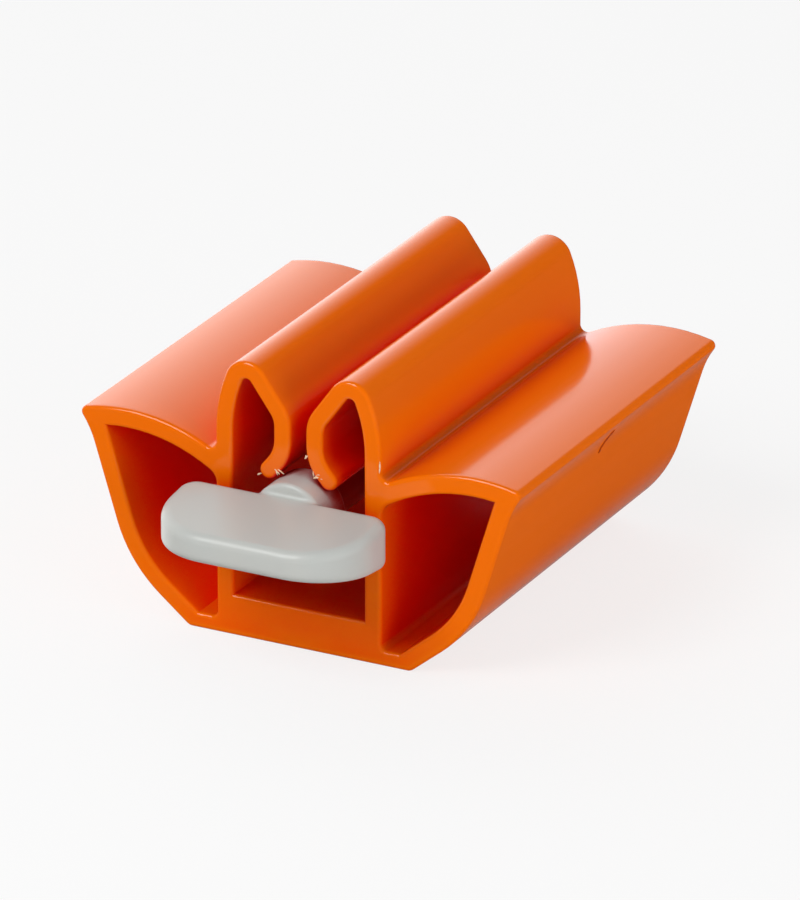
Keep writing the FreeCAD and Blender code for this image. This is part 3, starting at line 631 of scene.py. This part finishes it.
glow.inputs["Strength"].default_value = BOARD_GLOW
both = nodes.new("ShaderNodeAddShader")
links.new(seen.outputs["BSDF"], both.inputs[0])
links.new(glow.outputs["Emission"], both.inputs[1])
path = nodes.new("ShaderNodeLightPath")
choice = nodes.new("ShaderNodeMixShader")
links.new(path.outputs["Is Camera Ray"], choice.inputs["Fac"])
links.new(bounce.outputs["BSDF"], choice.inputs[1])
links.new(both.outputs["Shader"], choice.inputs[2])
output = nodes.new("ShaderNodeOutputMaterial")
links.new(choice.outputs["Shader"], output.inputs["Surface"])
floor_data.materials.append(board)

# The studio is pale, brighter near the horizon than overhead. The glossy plastic mirrors none of that,
# but a bright screen at the rear left, which fades out towards the middle.
HORIZON_LIGHT = 0.58
ZENITH_LIGHT = 0.18
MIRRORED_LIGHT = 0.02
SCREEN_LIGHT = 1.8
SCREEN_AZIMUTH = -45
SCREEN_ELEVATION = 2
SCREEN_INNER = 5
SCREEN_OUTER = 60
TABLE_LOW = -0.42
TABLE_HIGH = -0.09
TABLE_SHARE = 0.25
TABLE_LEFT = -0.75
TABLE_RIGHT = -0.5
CURTAIN_START = 0.86
CURTAIN_END = 0.93
CURTAIN_SHARE = 0.2


def towards(azimuth, elevation):
    """A direction in degrees: the azimuth turns right from the rear, the elevation is from the horizon."""
    side, rise = math.radians(azimuth), math.radians(elevation)
    return Vector((math.sin(side) * math.cos(rise), math.cos(side) * math.cos(rise), math.sin(rise)))


world = bpy.data.worlds.new("studio")
bpy.context.scene.world = world
world.use_nodes = True
nodes, links = world.node_tree.nodes, world.node_tree.links
background = nodes["Background"]
background.inputs["Color"].default_value = (1, 1, 1, 1)
path = nodes.new("ShaderNodeLightPath")
direction = place_parts(nodes, links, "Generated")

sky = remap(nodes, links, direction.outputs["Z"], 0, 1, HORIZON_LIGHT, ZENITH_LIGHT)
evenly = nodes.new("ShaderNodeMix")
links.new(path.outputs["Is Glossy Ray"], evenly.inputs["Factor"])
links.new(sky, evenly.inputs["A"])
evenly.inputs["B"].default_value = MIRRORED_LIGHT

looking = nodes.new("ShaderNodeTexCoord")
near_screen = nodes.new("ShaderNodeVectorMath")
near_screen.operation = "DOT_PRODUCT"
near_screen.inputs[1].default_value = towards(SCREEN_AZIMUTH, SCREEN_ELEVATION)
links.new(looking.outputs["Generated"], near_screen.inputs[0])
outer, inner = [math.cos(math.radians(angle)) for angle in (SCREEN_OUTER, SCREEN_INNER)]
screen = remap(nodes, links, near_screen.outputs["Value"], outer, inner, 0, SCREEN_LIGHT)

# The table hides most of the screen below the horizon, but not at the far left, and a dark curtain hangs
# straight behind the clamp.
table = remap(nodes, links, direction.outputs["Z"], TABLE_LOW, TABLE_HIGH, TABLE_SHARE)
left = remap(nodes, links, direction.outputs["X"], TABLE_LEFT, TABLE_RIGHT, 1, 0)
curtain = remap(nodes, links, direction.outputs["Y"], CURTAIN_START, CURTAIN_END, 1, CURTAIN_SHARE)
uncovered = joined(nodes, links, "MULTIPLY", curtain, joined(nodes, links, "MAXIMUM", table, left))
shown = joined(nodes, links, "MULTIPLY", screen, uncovered)
total = joined(nodes, links, "ADD", evenly.outputs["Result"], shown)

pick = nodes.new("ShaderNodeMix")
links.new(path.outputs["Is Camera Ray"], pick.inputs["Factor"])
links.new(total, pick.inputs["A"])
pick.inputs["B"].default_value = BACKGROUND
links.new(pick.outputs["Result"], background.inputs["Strength"])

# Two soft lamps: the key lamp in front, high on the left, and a weaker one low on the right.
LAMP_DISTANCE = 1.1


def add_lamp(name, azimuth, elevation, size, level):
    """A square lamp aimed at the clamp, placed by its direction. Its level is the light that it gives."""
    data = bpy.data.lights.new(name, "AREA")
    data.shape = "SQUARE"
    data.size = size
    data.energy = level * (math.pi * LAMP_DISTANCE) ** 2
    lamp = bpy.data.objects.new(name, data)
    lamp.location = LAMP_DISTANCE * towards(azimuth, elevation)
    lamp.rotation_euler = (-lamp.location).to_track_quat("-Z", "Y").to_euler()
    lamp.visible_camera = False
    bpy.context.scene.collection.objects.link(lamp)
    return lamp


add_lamp("key_lamp", azimuth=-158, elevation=44, size=0.55, level=0.5)
fill_lamp = add_lamp("fill_lamp", azimuth=101, elevation=5, size=0.7, level=0.43)
fill_lamp.visible_glossy = False

bpy.context.scene.view_settings.view_transform = "Standard"
